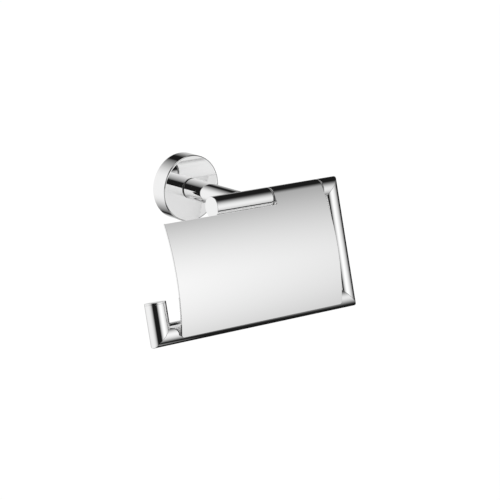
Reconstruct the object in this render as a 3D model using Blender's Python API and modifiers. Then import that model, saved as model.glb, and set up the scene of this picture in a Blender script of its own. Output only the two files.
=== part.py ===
"""Wall-mounted toilet paper holder with a hinged cover.

A round rosette carries one post.  A hub crosses the end of the post and holds a frame of round
bar with mitred corners: a short top bar, a side bar, the bar that carries the roll, and an
upstand that stops the roll from sliding off.  A curved sheet cover is rolled into a barrel that
turns on the spindle of the top bar.

The wall is the plane y = 0 and the holder stands out of it towards -Y.  +X runs along the wall,
+Z is up, and the origin is the centre of the rosette's back.  All sizes are in metres.
"""

import bmesh
import bpy
from math import cos, pi, radians, sin
from mathutils import Vector

MM = 0.001

# Driving dimensions
BAR_RADIUS = 6.0 * MM
TUBE_WALL = 1.2 * MM
ROSETTE_RADIUS = 19.25 * MM
ROSETTE_DEPTH = 11.0 * MM
HUB_REACH = 57.0 * MM
HUB_LEFT = -20.0 * MM
HUB_RIGHT = 18.7 * MM
FRAME_TILT = radians(15.0)
FRAME_DROP = 63.4 * MM
SIDE_BAR_X = 62.5 * MM
UPSTAND_X = -66.7 * MM
UPSTAND_RISE = 18.3 * MM
SPINDLE_RADIUS = 3.0 * MM
COVER_THICKNESS = 1.2 * MM
COVER_LEFT = -57.7 * MM
COVER_START_ANGLE = radians(32.6)
COVER_END_ANGLE = radians(-0.5)
COVER_LENGTH = 69.2 * MM
NOTCH_DEPTH = 6.45 * MM

# Gap left between neighbours, and the fineness of round surfaces
GAP = 0.3 * MM
SEGMENTS = 48
SMALL_SEGMENTS = 24
HEX_SEGMENTS = 6
MERGE = 0.00001
SHARP_ANGLE = radians(30.0)
BEVEL_ANGLE = radians(40.0)

# How far a cutter runs past the surface it cuts, and the size of cutters that clear everything
PAST = 1.0 * MM
CLEAR = 80.0 * MM

# Rosette, bracket and the bolt that holds the post
ROSETTE_WALL = 1.5 * MM
ROSETTE_FRONT = 2.5 * MM
ROSETTE_EDGE = 0.35 * MM
BRACKET_RADIUS = 15.5 * MM
BRACKET_DEPTH = 6.5 * MM
GROOVE_RADIUS = 13.6 * MM
GROOVE_Y = 3.6 * MM
POCKET_RADIUS = 4.9 * MM
POCKET_FLOOR = 3.0 * MM
BOLT_RADIUS = 2.5 * MM
BOLT_HEAD_RADIUS = 4.25 * MM
BOLT_HEAD_HEIGHT = 2.6 * MM
BOLT_TIP = HUB_REACH + 2.4 * MM
BOLT_CHAMFER = 0.5 * MM
BOLT_SOCKET_RADIUS = 2.2 * MM
BOLT_SOCKET_DEPTH = 1.6 * MM
WASHER_RADIUS = 5.0 * MM
WASHER_THICKNESS = 0.6 * MM
WASHER_SPLIT = 0.8 * MM
WASHER_SPLIT_SLANT = radians(25.0)
GASKET_THICKNESS = 0.5 * MM
GASKET_INSET = 0.1 * MM

# Wall screws
WALL_SCREW_Z = 9.2 * MM
WALL_SCREW_RADIUS = 1.75 * MM
WALL_SCREW_HEAD_RADIUS = 3.1 * MM
WALL_SCREW_REACH = 11.5 * MM
WALL_SCREW_POINT = 3.0 * MM
WALL_SCREW_RIM = 0.1 * MM
RECESS_LENGTH = 3.4 * MM
RECESS_WIDTH = 0.9 * MM
RECESS_DEPTH = 1.4 * MM

# Grub screws
GRUB_RADIUS = 2.0 * MM
GRUB_POINT_RADIUS = 0.5 * MM
GRUB_SINK = 0.3 * MM
SOCKET_RADIUS = 1.1 * MM
ROSETTE_SOCKET_DEPTH = 1.8 * MM
HUB_SOCKET_DEPTH = 1.4 * MM
HUB_GRUB_X = 12.0 * MM

# Hinge
HUB_EDGE = 0.3 * MM
HUB_BORE_FLOOR = 4.0 * MM
SPINDLE_CHAMFER = 0.4 * MM
BUSH_FLANGE = 0.5 * MM
BUSH_FLANGE_INSET = 0.15 * MM
BUSH_BARREL = 8.0 * MM
BARREL_LEFT = HUB_RIGHT + BUSH_FLANGE + 2 * GAP
BARREL_RIGHT = 54.6 * MM
SHOULDER_X = BARREL_RIGHT + BUSH_FLANGE + 2 * GAP
CURL_SWEEP = radians(318.0)
CURL_STEPS = 44
SHEET_STEPS = 16
CORNER_RADIUS = 1.6 * MM
NOTCH_CORNER_RADIUS = 1.2 * MM
CORNER_SEGMENTS = 6
NOTCH_HEIGHT = 30.0 * MM
OUTLINE_TOP = 20.0 * MM

# Upstand cap
CAP_THICKNESS = 1.0 * MM
CAP_PLUG_LENGTH = 4.0 * MM
CAP_EDGE = 0.25 * MM

# Directions and corners of the frame, whose plane leans out of the vertical by FRAME_TILT
RIGHT = Vector((1.0, 0.0, 0.0))
OUT = Vector((0.0, -1.0, 0.0))
UP = Vector((0.0, 0.0, 1.0))
DOWN = Vector((0.0, -sin(FRAME_TILT), -cos(FRAME_TILT)))
HUB_AXIS = Vector((0.0, -HUB_REACH, 0.0))
TOP_CORNER = HUB_AXIS + RIGHT * SIDE_BAR_X
LOW_RIGHT_CORNER = TOP_CORNER + DOWN * FRAME_DROP
LOW_LEFT_CORNER = HUB_AXIS + RIGHT * UPSTAND_X + DOWN * FRAME_DROP
UPSTAND_TOP = LOW_LEFT_CORNER - DOWN * UPSTAND_RISE

# Rotations that turn a piece's own Z axis out of the wall (-Y) or along the wall (+X)
OUT_OF_WALL = (pi / 2, 0.0, 0.0)
ALONG_WALL = (0.0, pi / 2, 0.0)
UPRIGHT = (0.0, 0.0, 0.0)


# ---------------------------------------------------------------- scene and materials

def clear_scene():
    for obj in list(bpy.data.objects):
        bpy.data.objects.remove(obj, do_unlink=True)


def make_collection(name):
    collection = bpy.data.collections.new(name)
    bpy.context.scene.collection.children.link(collection)
    return collection


def make_material(name, colour, metallic, roughness):
    material = bpy.data.materials.new(name)
    material.use_nodes = True
    shader = material.node_tree.nodes["Principled BSDF"]
    shader.inputs["Base Color"].default_value = (*colour, 1.0)
    shader.inputs["Metallic"].default_value = metallic
    shader.inputs["Roughness"].default_value = roughness
    material.diffuse_color = (*colour, 1.0)
    return material


def chrome(node):
    return make_material(node + "_chrome", (0.80, 0.81, 0.82), 1.0, 0.05)


def zinc_steel(node):
    return make_material(node + "_steel", (0.62, 0.62, 0.60), 1.0, 0.35)


def black_rubber(node):
    return make_material(node + "_rubber", (0.03, 0.03, 0.03), 0.0, 0.7)


def grey_nylon(node):
    return make_material(node + "_nylon", (0.22, 0.22, 0.22), 0.0, 0.42)


# ---------------------------------------------------------------- shape helpers

def add_object(name, mesh, material):
    obj = bpy.data.objects.new(name, mesh)
    PARTS.objects.link(obj)
    obj.data.materials.append(material)
    return obj


def add_cutter(name, mesh):
    cutter = bpy.data.objects.new(name, mesh)
    CUTTERS.objects.link(cutter)
    cutter.hide_render = True
    cutter.display_type = "WIRE"
    return cutter


def apply_boolean(obj, operation, cutter):
    modifier = obj.modifiers.new(cutter.name, "BOOLEAN")
    modifier.operation = operation
    modifier.solver = "EXACT"
    modifier.object = cutter


def cut(obj, cutter):
    apply_boolean(obj, "DIFFERENCE", cutter)


def add_bevel(obj, width):
    """Break the sharp circular edges of a turned piece."""
    bevel = obj.modifiers.new("edge break", "BEVEL")
    bevel.width = width
    bevel.segments = 2
    bevel.limit_method = "ANGLE"
    bevel.angle_limit = BEVEL_ANGLE


def smooth(obj):
    obj.data.shade_smooth()
    obj.data.set_sharp_from_angle(angle=SHARP_ANGLE)


def cylinder_mesh(name, radius, length, segments=SEGMENTS):
    """Closed cylinder centred on its own origin, along its own Z axis."""
    mesh = bpy.data.meshes.new(name)
    bm = bmesh.new()
    bmesh.ops.create_cone(bm, cap_ends=True, segments=segments, radius1=radius,
                          radius2=radius, depth=length)
    bm.to_mesh(mesh)
    bm.free()
    return mesh


def box_mesh(name, size_x, size_y, size_z):
    mesh = bpy.data.meshes.new(name)
    bm = bmesh.new()
    bmesh.ops.create_cube(bm, size=1.0)
    bmesh.ops.scale(bm, vec=(size_x, size_y, size_z), verts=bm.verts)
    bm.to_mesh(mesh)
    bm.free()
    return mesh


def rounded_box_mesh(name, size, radius, is_round):
    """Box whose edges along Y are rounded where is_round holds for both of their ends."""
    mesh = box_mesh(name, *size)
    bm = bmesh.new()
    bm.from_mesh(mesh)
    edges = []
    for edge in bm.edges:
        first, second = edge.verts
        along_y = abs(first.co.x - second.co.x) < MERGE and abs(first.co.z - second.co.z) < MERGE
        if along_y and is_round(first.co) and is_round(second.co):
            edges.append(edge)
    bmesh.ops.bevel(bm, geom=edges, offset=radius, segments=CORNER_SEGMENTS, profile=0.5,
                    affect="EDGES")
    bm.to_mesh(mesh)
    bm.free()
    return mesh


def place_between(obj, start, end):
    """Stand the object's own Z axis on the line from start to end, centred between them."""
    obj.location = (start + end) / 2
    obj.rotation_mode = "QUATERNION"
    obj.rotation_quaternion = (end - start).to_track_quat("Z", "Y")


def rod_cutter(name, start, end, radius, segments=SEGMENTS):
    cutter = add_cutter(name, cylinder_mesh(name, radius, (end - start).length, segments))
    place_between(cutter, start, end)
    return cutter


def turned(name, profile, material, rotation=OUT_OF_WALL, location=(0.0, 0.0, 0.0), closed=False):
    """Turn a profile of (radius, height) points, which runs down its outer side."""
    mesh = bpy.data.meshes.new(name)
    points = [(radius, 0.0, height) for radius, height in profile]
    edges = [(i, i + 1) for i in range(len(points) - 1)]
    if closed:
        edges.append((len(points) - 1, 0))
    mesh.from_pydata(points, edges, [])
    obj = add_object(name, mesh, material)
    screw = obj.modifiers.new("turn", "SCREW")
    screw.axis = "Z"
    screw.steps = SEGMENTS
    screw.render_steps = SEGMENTS
    screw.use_merge_vertices = True
    screw.merge_threshold = MERGE
    screw.use_smooth_shade = True
    obj.rotation_euler = rotation
    obj.location = location
    return obj


def mitre_cutter(name, corner, incoming, outgoing, keep):
    """Half-space box on the mitre plane of two bars that meet at a corner.

    The plane halves the turn between the bars.  keep says which bar is trimmed with it:
    the incoming bar loses what lies past the plane, the outgoing bar what lies before it.
    """
    size = CLEAR
    normal = (incoming + outgoing).normalized()
    if keep == "outgoing":
        normal = -normal
    cutter = add_cutter(name, box_mesh(name, size, size, size))
    start = corner - normal * (GAP / 2)
    place_between(cutter, start, start + normal * size)
    return cutter


def bar_between(name, start, end, material):
    """Round tube between two points; each end is long enough to be mitred."""
    direction = (end - start).normalized()
    first = start - direction * (BAR_RADIUS + PAST)
    last = end + direction * (BAR_RADIUS + PAST)
    obj = add_object(name, cylinder_mesh(name, BAR_RADIUS, (last - first).length), material)
    place_between(obj, first, last)
    bore = rod_cutter(name + " bore", first - direction * PAST, last + direction * PAST,
                      BAR_RADIUS - TUBE_WALL)
    cut(obj, bore)
    return obj


def hex_socket(name, mouth, inward, depth):
    return rod_cutter(name, mouth - inward * PAST, mouth + inward * depth, SOCKET_RADIUS,
                      HEX_SEGMENTS)


# ---------------------------------------------------------------- wall end

def make_wall_bracket():
    """Turned disc screwed to the wall; the rosette's grub screw bites into its V groove."""
    lip = BRACKET_RADIUS - GROOVE_RADIUS
    profile = [
        (0.0, POCKET_FLOOR), (POCKET_RADIUS, POCKET_FLOOR), (POCKET_RADIUS, BRACKET_DEPTH),
        (BRACKET_RADIUS, BRACKET_DEPTH), (BRACKET_RADIUS, GROOVE_Y + lip),
        (GROOVE_RADIUS, GROOVE_Y), (BRACKET_RADIUS, GROOVE_Y - lip), (BRACKET_RADIUS, 0.0),
        (0.0, 0.0),
    ]
    bracket = turned("wall_bracket", profile, zinc_steel("wall_bracket"))
    for side, height in (("upper", WALL_SCREW_Z), ("lower", -WALL_SCREW_Z)):
        name = side + " countersink"
        cutter = add_cutter(name, countersink_mesh(name))
        cutter.rotation_euler = OUT_OF_WALL
        cutter.location = (0.0, 0.0, height)
        cut(bracket, cutter)


def countersink_mesh(name):
    """Clearance hole with a conical mouth, along Z from behind the bracket to its front."""
    hole = WALL_SCREW_RADIUS + GAP
    mouth = WALL_SCREW_HEAD_RADIUS + 3 * GAP
    cone = mouth - hole
    mesh = bpy.data.meshes.new(name)
    bm = bmesh.new()
    rings = []
    for radius, height in ((mouth + PAST, BRACKET_DEPTH + PAST), (hole, BRACKET_DEPTH - cone),
                           (hole, -PAST)):
        ring = bmesh.ops.create_circle(bm, cap_ends=False, segments=SEGMENTS, radius=radius)
        bmesh.ops.translate(bm, verts=ring["verts"], vec=(0.0, 0.0, height))
        rings.append(ring["verts"])
    for upper, lower in zip(rings, rings[1:]):
        for i in range(SEGMENTS):
            j = (i + 1) % SEGMENTS
            bm.faces.new((upper[i], lower[i], lower[j], upper[j]))
    bm.faces.new(rings[0])
    bm.faces.new(list(reversed(rings[-1])))
    bm.to_mesh(mesh)
    bm.free()
    return mesh


def make_wall_screw(name, height):
    """Countersunk screw with a cross recess; its point stands in the wall, behind y = 0."""
    head_top = BRACKET_DEPTH - GAP
    neck = head_top - (WALL_SCREW_HEAD_RADIUS - WALL_SCREW_RADIUS)
    profile = [
        (0.0, head_top), (WALL_SCREW_HEAD_RADIUS, head_top),
        (WALL_SCREW_HEAD_RADIUS, head_top - WALL_SCREW_RIM),
        (WALL_SCREW_RADIUS, neck - WALL_SCREW_RIM),
        (WALL_SCREW_RADIUS, WALL_SCREW_POINT - WALL_SCREW_REACH), (0.0, -WALL_SCREW_REACH),
    ]
    screw = turned(name, profile, zinc_steel(name), location=(0.0, 0.0, height))
    for arm, width, tall in (("wide", RECESS_LENGTH, RECESS_WIDTH),
                             ("tall", RECESS_WIDTH, RECESS_LENGTH)):
        cutter_name = name + " recess " + arm
        cutter = add_cutter(cutter_name, box_mesh(cutter_name, width, 2 * RECESS_DEPTH, tall))
        cutter.location = (0.0, -head_top, height)
        cut(screw, cutter)


def make_rosette():
    """Round cup over the bracket, with a hole for the post's bolt and one for the grub screw."""
    inner = ROSETTE_RADIUS - ROSETTE_WALL
    back_of_front = ROSETTE_DEPTH - ROSETTE_FRONT
    hole = BOLT_RADIUS + GAP
    profile = [
        (hole, ROSETTE_DEPTH), (ROSETTE_RADIUS, ROSETTE_DEPTH), (ROSETTE_RADIUS, 0.0),
        (inner, 0.0), (inner, back_of_front), (hole, back_of_front),
    ]
    rosette = turned("rosette", profile, chrome("rosette"), closed=True)
    add_bevel(rosette, ROSETTE_EDGE)
    line = OUT * GROOVE_Y
    cut(rosette, rod_cutter("grub hole", line - UP * (ROSETTE_RADIUS + PAST),
                            line - UP * (inner - PAST), GRUB_RADIUS + GAP, SMALL_SEGMENTS))


def make_rosette_grub_screw():
    """Pointed socket screw that rises through the rosette's underside into the groove."""
    outer_end = -(ROSETTE_RADIUS - GRUB_SINK)
    tip = -(GROOVE_RADIUS + GRUB_POINT_RADIUS + 2 * GAP)
    profile = [
        (0.0, tip), (GRUB_POINT_RADIUS, tip),
        (GRUB_RADIUS, tip - (GRUB_RADIUS - GRUB_POINT_RADIUS)),
        (GRUB_RADIUS, outer_end), (0.0, outer_end),
    ]
    name = "rosette_grub_screw"
    screw = turned(name, profile, zinc_steel(name), UPRIGHT, OUT * GROOVE_Y)
    mouth = Vector((0.0, -GROOVE_Y, outer_end))
    cut(screw, hex_socket("rosette grub socket", mouth, UP, ROSETTE_SOCKET_DEPTH))


# ---------------------------------------------------------------- post

def make_post_washers():
    """Plain washer against the rosette, and a split lock washer under the bolt head."""
    inner = BOLT_RADIUS + GAP
    top = ROSETTE_DEPTH - ROSETTE_FRONT - GAP
    bottom = top - WASHER_THICKNESS
    ring = [(inner, top), (WASHER_RADIUS, top), (WASHER_RADIUS, bottom), (inner, bottom)]
    turned("post_washer", ring, zinc_steel("post_washer"), closed=True)
    top = bottom - GAP
    bottom = top - WASHER_THICKNESS
    ring = [(inner, top), (BOLT_HEAD_RADIUS, top), (BOLT_HEAD_RADIUS, bottom), (inner, bottom)]
    lock = turned("post_lock_washer", ring, zinc_steel("post_lock_washer"), closed=True)
    reach = BOLT_HEAD_RADIUS - inner + 2 * PAST
    split = add_cutter("lock washer split", box_mesh("split", WASHER_SPLIT, reach, reach))
    split.location = (0.0, -(top + bottom) / 2, (inner + BOLT_HEAD_RADIUS) / 2)
    split.rotation_euler = (0.0, 0.0, WASHER_SPLIT_SLANT)
    cut(lock, split)
    return bottom - GAP


def make_post_bolt(head_front):
    """Socket bolt that clamps rosette, gasket and post against the hub."""
    head_back = head_front - BOLT_HEAD_HEIGHT
    profile = [
        (0.0, BOLT_TIP), (BOLT_RADIUS - BOLT_CHAMFER, BOLT_TIP),
        (BOLT_RADIUS, BOLT_TIP - BOLT_CHAMFER),
        (BOLT_RADIUS, head_front), (BOLT_HEAD_RADIUS, head_front),
        (BOLT_HEAD_RADIUS, head_back), (0.0, head_back),
    ]
    bolt = turned("post_bolt", profile, zinc_steel("post_bolt"))
    mouth = OUT * head_back
    cut(bolt, rod_cutter("post bolt socket", mouth - OUT * PAST, mouth + OUT * BOLT_SOCKET_DEPTH,
                         BOLT_SOCKET_RADIUS, HEX_SEGMENTS))


def make_post_gasket():
    near = ROSETTE_DEPTH + GAP
    far = near + GASKET_THICKNESS
    inner = BOLT_RADIUS + GAP
    outer = BAR_RADIUS - GASKET_INSET
    ring = [(inner, far), (outer, far), (outer, near), (inner, near)]
    turned("post_gasket", ring, black_rubber("post_gasket"), closed=True)
    return far + GAP


def make_post(foot):
    """Tube from the gasket to the hub, with its far end scooped to fit the hub's round side."""
    inner = BAR_RADIUS - TUBE_WALL
    profile = [
        (inner, HUB_REACH), (BAR_RADIUS, HUB_REACH), (BAR_RADIUS, foot), (inner, foot),
    ]
    post = turned("post", profile, chrome("post"), closed=True)
    half = 2 * BAR_RADIUS
    cut(post, rod_cutter("hub saddle", HUB_AXIS - RIGHT * half, HUB_AXIS + RIGHT * half,
                         BAR_RADIUS + GAP))


# ---------------------------------------------------------------- hub and frame

def make_hub():
    """Solid cross bar on the end of the post, bored from its right end for the spindle."""
    bore = SPINDLE_RADIUS + GAP
    profile = [
        (0.0, HUB_BORE_FLOOR), (bore, HUB_BORE_FLOOR), (bore, HUB_RIGHT),
        (BAR_RADIUS, HUB_RIGHT), (BAR_RADIUS, HUB_LEFT), (0.0, HUB_LEFT),
    ]
    hub = turned("hub", profile, chrome("hub"), ALONG_WALL, HUB_AXIS)
    add_bevel(hub, HUB_EDGE)
    cut(hub, rod_cutter("hub bolt hole", OUT * (HUB_REACH - BAR_RADIUS - PAST),
                        OUT * (BOLT_TIP + GAP), BOLT_RADIUS + GAP, SMALL_SEGMENTS))
    line = HUB_AXIS + RIGHT * HUB_GRUB_X
    cut(hub, rod_cutter("hub grub hole", line - UP * (BAR_RADIUS + PAST), line - UP * PAST,
                        GRUB_RADIUS + GAP, SMALL_SEGMENTS))


def make_hub_grub_screw():
    """Socket screw in the hub's underside that locks the spindle and so the frame."""
    outer_end = -(BAR_RADIUS - GRUB_SINK)
    tip = -(SPINDLE_RADIUS + GAP)
    profile = [(0.0, tip), (GRUB_RADIUS, tip), (GRUB_RADIUS, outer_end), (0.0, outer_end)]
    name = "hub_grub_screw"
    place = HUB_AXIS + RIGHT * HUB_GRUB_X
    screw = turned(name, profile, zinc_steel(name), UPRIGHT, place)
    cut(screw, hex_socket("hub grub socket", place + UP * outer_end, UP, HUB_SOCKET_DEPTH))


def make_top_bar():
    """Short bar at the frame's top corner, turned down to the spindle that the cover rides on."""
    start = HUB_BORE_FLOOR + 2 * GAP
    end = SIDE_BAR_X + BAR_RADIUS + PAST
    profile = [
        (0.0, end), (BAR_RADIUS, end), (BAR_RADIUS, SHOULDER_X + GAP),
        (BAR_RADIUS - GAP, SHOULDER_X), (SPINDLE_RADIUS, SHOULDER_X),
        (SPINDLE_RADIUS, start + SPINDLE_CHAMFER), (SPINDLE_RADIUS - SPINDLE_CHAMFER, start),
        (0.0, start),
    ]
    bar = turned("top_bar", profile, chrome("top_bar"), ALONG_WALL, HUB_AXIS)
    cut(bar, mitre_cutter("top bar mitre", TOP_CORNER, RIGHT, DOWN, "incoming"))


def make_side_bar():
    bar = bar_between("side_bar", TOP_CORNER, LOW_RIGHT_CORNER, chrome("side_bar"))
    cut(bar, mitre_cutter("side bar top mitre", TOP_CORNER, RIGHT, DOWN, "outgoing"))
    cut(bar, mitre_cutter("side bar low mitre", LOW_RIGHT_CORNER, DOWN, -RIGHT, "incoming"))
    smooth(bar)


def make_roll_bar():
    bar = bar_between("roll_bar", LOW_RIGHT_CORNER, LOW_LEFT_CORNER, chrome("roll_bar"))
    cut(bar, mitre_cutter("roll bar right mitre", LOW_RIGHT_CORNER, DOWN, -RIGHT, "outgoing"))
    cut(bar, mitre_cutter("roll bar left mitre", LOW_LEFT_CORNER, -RIGHT, -DOWN, "incoming"))
    smooth(bar)


def make_upstand():
    """Short tube that stops the roll; the cap closes its flat top."""
    top = UPSTAND_TOP + DOWN * (CAP_THICKNESS + GAP)
    overshoot = BAR_RADIUS + PAST
    bar = bar_between("upstand", LOW_LEFT_CORNER, top + DOWN * overshoot, chrome("upstand"))
    cut(bar, mitre_cutter("upstand mitre", LOW_LEFT_CORNER, -RIGHT, -DOWN, "outgoing"))
    smooth(bar)


def make_upstand_cap():
    """Flat disc with a plug that fits inside the upstand."""
    plug = BAR_RADIUS - TUBE_WALL - GAP
    bottom = -(CAP_THICKNESS + CAP_PLUG_LENGTH)
    profile = [
        (0.0, 0.0), (BAR_RADIUS, 0.0), (BAR_RADIUS, -CAP_THICKNESS),
        (plug, -CAP_THICKNESS), (plug, bottom), (0.0, bottom),
    ]
    leaning = (-FRAME_TILT, 0.0, 0.0)
    cap = turned("upstand_cap", profile, chrome("upstand_cap"), leaning, UPSTAND_TOP)
    add_bevel(cap, CAP_EDGE)


# ---------------------------------------------------------------- cover

def cover_section():
    """Outer face of the cover's section as (y, z) about the hinge axis.

    It starts at the free end of the barrel, runs over the top of the barrel to its front, and
    leaves it as a gentle arc that is nearly upright at the lower edge.
    """
    points = []
    for i in range(CURL_STEPS):
        angle = COVER_START_ANGLE + CURL_SWEEP * (1 - i / CURL_STEPS)
        points.append((-BAR_RADIUS * cos(angle), BAR_RADIUS * sin(angle)))
    return points + sheet_section()


def sheet_section():
    """The arc below the barrel: its slope turns evenly from the start to the end angle."""
    turn = COVER_START_ANGLE - COVER_END_ANGLE
    radius = COVER_LENGTH / turn
    y0 = -BAR_RADIUS * cos(COVER_START_ANGLE)
    z0 = BAR_RADIUS * sin(COVER_START_ANGLE)
    centre_y = y0 + radius * cos(COVER_START_ANGLE)
    centre_z = z0 - radius * sin(COVER_START_ANGLE)
    points = []
    for i in range(SHEET_STEPS + 1):
        angle = COVER_START_ANGLE - turn * i / SHEET_STEPS
        points.append((centre_y - radius * cos(angle), centre_z + radius * sin(angle)))
    return points


def make_cover():
    """Sheet rolled into a barrel at its top, with a notch that clears the hub and the post."""
    section = cover_section()
    mesh = bpy.data.meshes.new("cover")
    points = [(x, y, z) for x in (COVER_LEFT, BARREL_RIGHT) for y, z in section]
    count = len(section)
    faces = [(i, i + 1, count + i + 1, count + i) for i in range(count - 1)]
    mesh.from_pydata(points, [], faces)
    cover = add_object("cover", mesh, chrome("cover"))
    cover.location = HUB_AXIS
    shell = cover.modifiers.new("sheet", "SOLIDIFY")
    shell.thickness = COVER_THICKNESS
    shell.offset = -1.0
    cut(cover, notch_cutter())
    cut(cover, rod_cutter("hub clearance", HUB_AXIS + RIGHT * (COVER_LEFT - PAST),
                          HUB_AXIS + RIGHT * BARREL_LEFT, BAR_RADIUS + GAP))
    apply_boolean(cover, "INTERSECT", corner_cutter(section[-1]))
    smooth(cover)


def notch_cutter():
    """Box whose lower face is square to the sheet, NOTCH_DEPTH below the barrel's front."""
    width = BARREL_LEFT - COVER_LEFT + PAST
    mesh = rounded_box_mesh("notch", (width, NOTCH_HEIGHT, NOTCH_HEIGHT), NOTCH_CORNER_RADIUS,
                            lambda corner: corner.x > 0 and corner.z < 0)
    cutter = add_cutter("notch", mesh)
    turn = COVER_START_ANGLE - COVER_END_ANGLE
    slope = COVER_START_ANGLE - turn * NOTCH_DEPTH / COVER_LENGTH
    radius = COVER_LENGTH / turn
    y = -BAR_RADIUS * cos(COVER_START_ANGLE) + radius * (cos(COVER_START_ANGLE) - cos(slope))
    z = BAR_RADIUS * sin(COVER_START_ANGLE) - radius * (sin(COVER_START_ANGLE) - sin(slope))
    edge = HUB_AXIS + Vector((BARREL_LEFT - width / 2, y, z))
    along_sheet = Vector((0.0, sin(slope), cos(slope)))
    cutter.location = edge + along_sheet * (NOTCH_HEIGHT / 2)
    cutter.rotation_euler = (-slope, 0.0, 0.0)
    return cutter


def corner_cutter(lowest):
    """Upright plate with rounded lower corners, which the cover is intersected with."""
    width = BARREL_RIGHT - COVER_LEFT
    bottom = lowest[1]
    height = OUTLINE_TOP - bottom
    mesh = rounded_box_mesh("cover outline", (width, CLEAR, height), CORNER_RADIUS,
                            lambda corner: corner.z < 0)
    cutter = add_cutter("cover outline", mesh)
    cutter.location = HUB_AXIS + Vector(((COVER_LEFT + BARREL_RIGHT) / 2, 0.0,
                                         bottom + height / 2))
    return cutter


def make_bush(name, flange_x, inward):
    """Flanged nylon bush; the flange stands between the barrel and its neighbour."""
    inner = SPINDLE_RADIUS + GAP
    outer = BAR_RADIUS - COVER_THICKNESS - GAP
    flange = BAR_RADIUS - BUSH_FLANGE_INSET
    shoulder = flange_x + inward * BUSH_FLANGE
    end = shoulder + inward * BUSH_BARREL
    ring = [(inner, flange_x), (flange, flange_x), (flange, shoulder), (outer, shoulder),
            (outer, end), (inner, end)]
    if inward > 0:
        ring.reverse()
    turned(name, ring, grey_nylon(name), ALONG_WALL, HUB_AXIS, closed=True)


# ---------------------------------------------------------------- assembly

clear_scene()
PARTS = make_collection("toilet_paper_holder")
CUTTERS = make_collection("cutters")

make_wall_bracket()
make_wall_screw("wall_screw_upper", WALL_SCREW_Z)
make_wall_screw("wall_screw_lower", -WALL_SCREW_Z)
make_rosette()
make_rosette_grub_screw()
make_post_bolt(make_post_washers())
make_post(make_post_gasket())
make_hub()
make_hub_grub_screw()
make_top_bar()
make_side_bar()
make_roll_bar()
make_upstand()
make_upstand_cap()
make_cover()
make_bush("left_hinge_bush", HUB_RIGHT + GAP, 1)
make_bush("right_hinge_bush", SHOULDER_X - GAP, -1)
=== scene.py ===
"""Looks for the wall-mounted toilet paper holder: fine meshes, finishes, studio and camera.

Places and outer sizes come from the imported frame; the details it doesn't hold are named below.
The wall plane is y = 0, the holder stands out of it towards -Y, +X runs along the wall and +Z is
up.  All sizes are in metres.
"""

from math import acos, atan2, cos, pi, radians, sin, sqrt, tan

import bmesh
import bpy
from mathutils import Matrix, Vector


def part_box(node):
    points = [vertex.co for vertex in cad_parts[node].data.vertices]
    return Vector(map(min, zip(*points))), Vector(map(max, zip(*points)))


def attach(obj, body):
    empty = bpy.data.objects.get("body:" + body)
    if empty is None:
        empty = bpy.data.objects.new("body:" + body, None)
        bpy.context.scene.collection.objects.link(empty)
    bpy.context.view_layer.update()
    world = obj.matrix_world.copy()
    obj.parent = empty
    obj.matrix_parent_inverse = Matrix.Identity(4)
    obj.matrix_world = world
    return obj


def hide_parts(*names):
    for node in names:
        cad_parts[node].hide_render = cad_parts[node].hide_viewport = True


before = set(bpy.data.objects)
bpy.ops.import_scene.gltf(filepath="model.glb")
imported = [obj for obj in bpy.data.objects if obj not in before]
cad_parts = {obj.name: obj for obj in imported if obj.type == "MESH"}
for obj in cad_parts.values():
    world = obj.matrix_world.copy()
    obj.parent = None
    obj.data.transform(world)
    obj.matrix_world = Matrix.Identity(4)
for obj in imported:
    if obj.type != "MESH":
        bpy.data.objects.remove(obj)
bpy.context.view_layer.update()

MM = 0.001
RIGHT = Vector((1.0, 0.0, 0.0))
OUT = Vector((0.0, -1.0, 0.0))
UP = Vector((0.0, 0.0, 1.0))


def middle(node):
    low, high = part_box(node)
    return (low + high) / 2


def extent(node):
    low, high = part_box(node)
    return high - low


# ---------------------------------------------------------------- places and sizes in the frame

HUB_LOW, HUB_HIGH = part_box("hub")
HUB_AXIS = Vector((0.0, middle("hub").y, middle("hub").z))
ROLL_AXIS = Vector((0.0, middle("roll_bar").y, middle("roll_bar").z))
BAR_RADIUS = extent("hub").z / 2
DOWN = (ROLL_AXIS - HUB_AXIS).normalized()
FRAME_DROP = (ROLL_AXIS - HUB_AXIS).length
FRAME_TILT = atan2(-DOWN.y, -DOWN.z)
TOP_CORNER = HUB_AXIS + RIGHT * middle("side_bar").x
LOW_RIGHT_CORNER = TOP_CORNER + DOWN * FRAME_DROP
LOW_LEFT_CORNER = ROLL_AXIS + RIGHT * middle("upstand").x
CAP_TOP_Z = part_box("upstand_cap")[1].z - BAR_RADIUS * sin(FRAME_TILT)
UPSTAND_RISE = (CAP_TOP_Z - LOW_LEFT_CORNER.z) / cos(FRAME_TILT)
UPSTAND_TOP = LOW_LEFT_CORNER - DOWN * UPSTAND_RISE
SPINDLE_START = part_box("top_bar")[0].x

ROSETTE_RADIUS = extent("rosette").x / 2
ROSETTE_DEPTH = extent("rosette").y
GASKET_FRONT = -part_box("post_gasket")[0].y
BRACKET_RADIUS = extent("wall_bracket").x / 2
BRACKET_DEPTH = extent("wall_bracket").y
SCREW_HEAD_RADIUS = extent("wall_screw_upper").x / 2
GRUB_RADIUS = extent("rosette_grub_screw").x / 2
GRUB_DEPTH = -middle("rosette_grub_screw").y

COVER_LOW, COVER_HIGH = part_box("cover")

# ---------------------------------------------------------------- sizes of the details

# Fineness of the meshes
BAR_AROUND = 160
ROSETTE_AROUND = 256
HOLE_AROUND = 64
SCREW_AROUND = 48
FILLET_STEPS = 5
SMALL_CORNER_STEPS = 4
CORNER_STEPS = 8

# Edges that turn by more than this stay sharp
SHARP_ANGLE = radians(30.0)
GRUB_SHARP_ANGLE = radians(35.0)
SCREW_SHARP_ANGLE = radians(40.0)

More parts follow.
